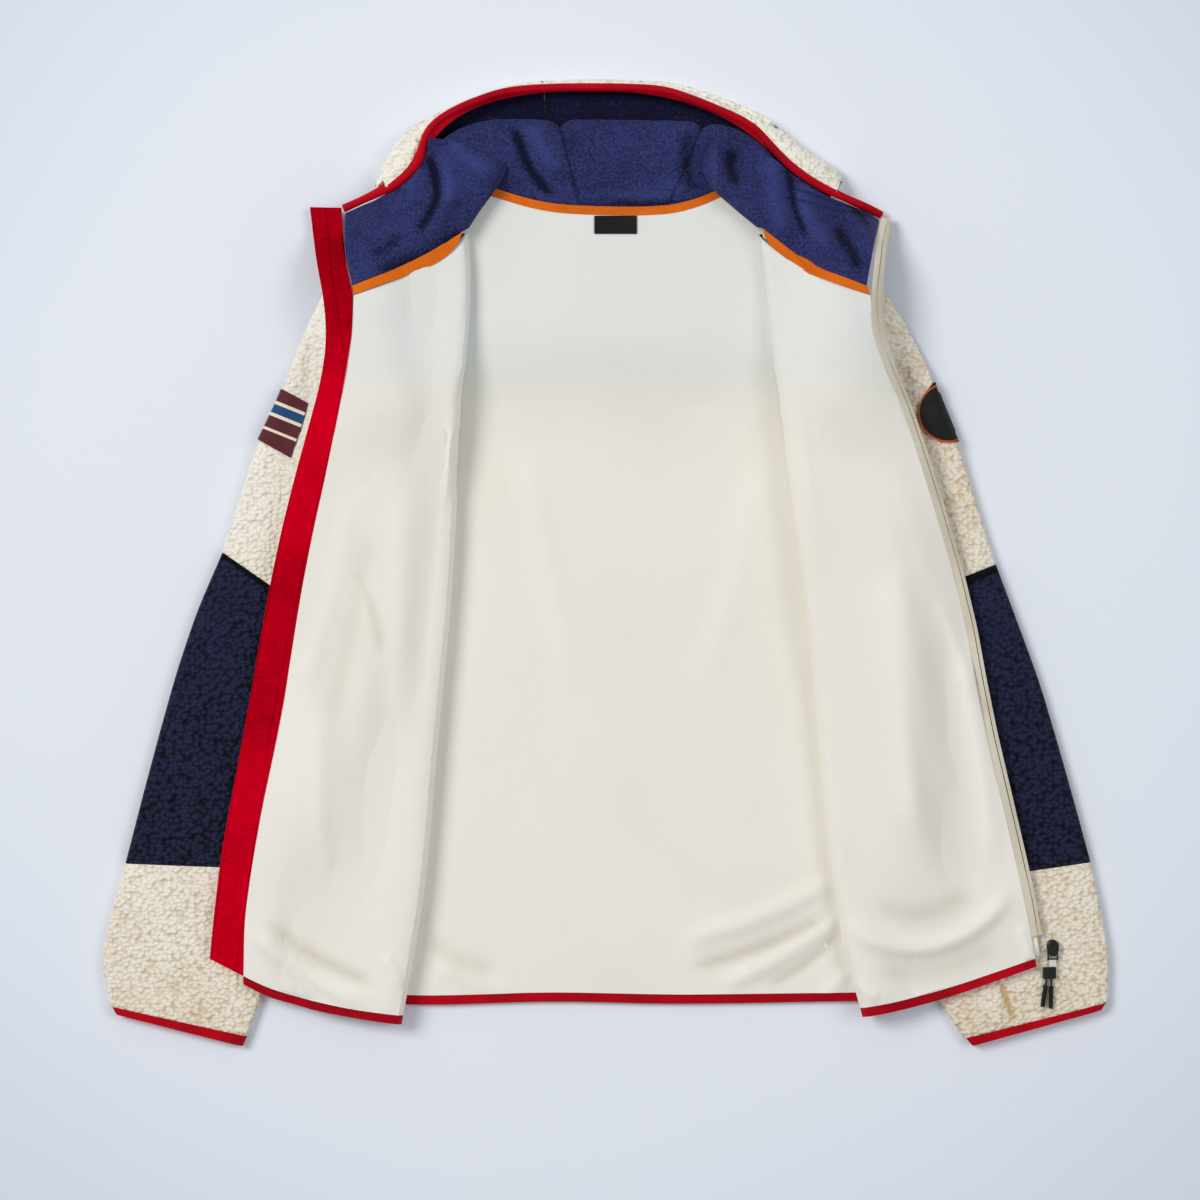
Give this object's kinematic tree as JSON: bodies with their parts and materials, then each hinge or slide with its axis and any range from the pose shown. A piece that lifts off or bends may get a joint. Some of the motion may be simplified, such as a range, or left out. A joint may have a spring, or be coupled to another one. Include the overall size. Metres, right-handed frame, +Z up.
{
  "type": "hooded fleece jacket",
  "caption": "Hooded pile-fleece jacket laid open on its back, fronts folded out over the sleeves, with contrast bindings, placket, zip and cord pull.",
  "frame": {"origin": "Middle of the garment's footprint, on the surface it lies on.", "axes": "+X towards the viewer's right, across the garment and its longest extent; +Y from hem to hood; +Z up from the surface, the shortest extent."},
  "size_m": [0.9113, 0.8715, 0.0569],
  "materials": {
    "cream_pile": "long curly pile fleece, matte",
    "navy_pile": "long curly pile fleece, matte",
    "cream_jersey": "smooth brushed jersey lining",
    "navy_fleece": "smooth microfleece, matte",
    "red_cloth": "smooth woven binding and ribbed placket",
    "orange_tape": "woven neck tape",
    "cream_tape": "woven zip tape and coil",
    "black_label": "woven label",
    "striped_patch": "embroidered patch",
    "round_patch": "embroidered patch",
    "black_plastic": "black enamelled slider and moulded grip",
    "black_cord": "moulded black cord tips",
    "white_band": "white moulded band"
  },
  "bodies": {
    "jacket": {"back_yoke_shell": "navy_pile", "back_shell": "cream_pile", "back_lining": "cream_jersey", "hem_binding_back": "red_cloth", "front_left_yoke_shell": "navy_pile", "front_left_shell": "cream_pile", "front_left_lining": "cream_jersey", "hem_binding_left": "red_cloth", "placket": "red_cloth", "front_right_yoke_shell": "navy_pile", "front_right_shell": "cream_pile", "front_right_lining": "cream_jersey", "hem_binding_right": "red_cloth", "zip_tape": "cream_tape", "zip_chain": "cream_tape", "zip_slider": "black_plastic", "sleeve_left_upper": "cream_pile", "sleeve_left_middle": "navy_pile", "sleeve_left_lower": "cream_pile", "sleeve_left_cuff_binding": "red_cloth", "patch_left": "striped_patch", "sleeve_right_upper": "cream_pile", "sleeve_right_middle": "navy_pile", "sleeve_right_lower": "cream_pile", "sleeve_right_cuff_binding": "red_cloth", "patch_right": "round_patch", "hood_left_shell": "cream_pile", "hood_centre_shell": "cream_pile", "hood_right_shell": "cream_pile", "hood_left_lining": "navy_fleece", "hood_centre_lining": "navy_fleece", "hood_right_lining": "navy_fleece", "hood_left_lapel_shell": "cream_pile", "hood_left_lapel_lining": "navy_fleece", "hood_right_lapel_shell": "cream_pile", "hood_right_lapel_lining": "navy_fleece", "brim_binding": "red_cloth", "neck_tape_back": "orange_tape", "neck_tape_left": "orange_tape", "neck_tape_right": "orange_tape", "neck_label": "black_label"},
    "puller": {"pull_band": "white_band", "pull_block": "black_plastic", "pull_tail_left": "black_cord", "pull_tail_right": "black_cord"}
  },
  "joints": [
    {"name": "pull_hinge", "type": "hinge", "parent": "jacket", "child": "puller", "pos_m": [0.4032, -0.3576, 0.0145], "axis": [-1, 0, 0], "range_deg": [0, 100]}
  ]
}
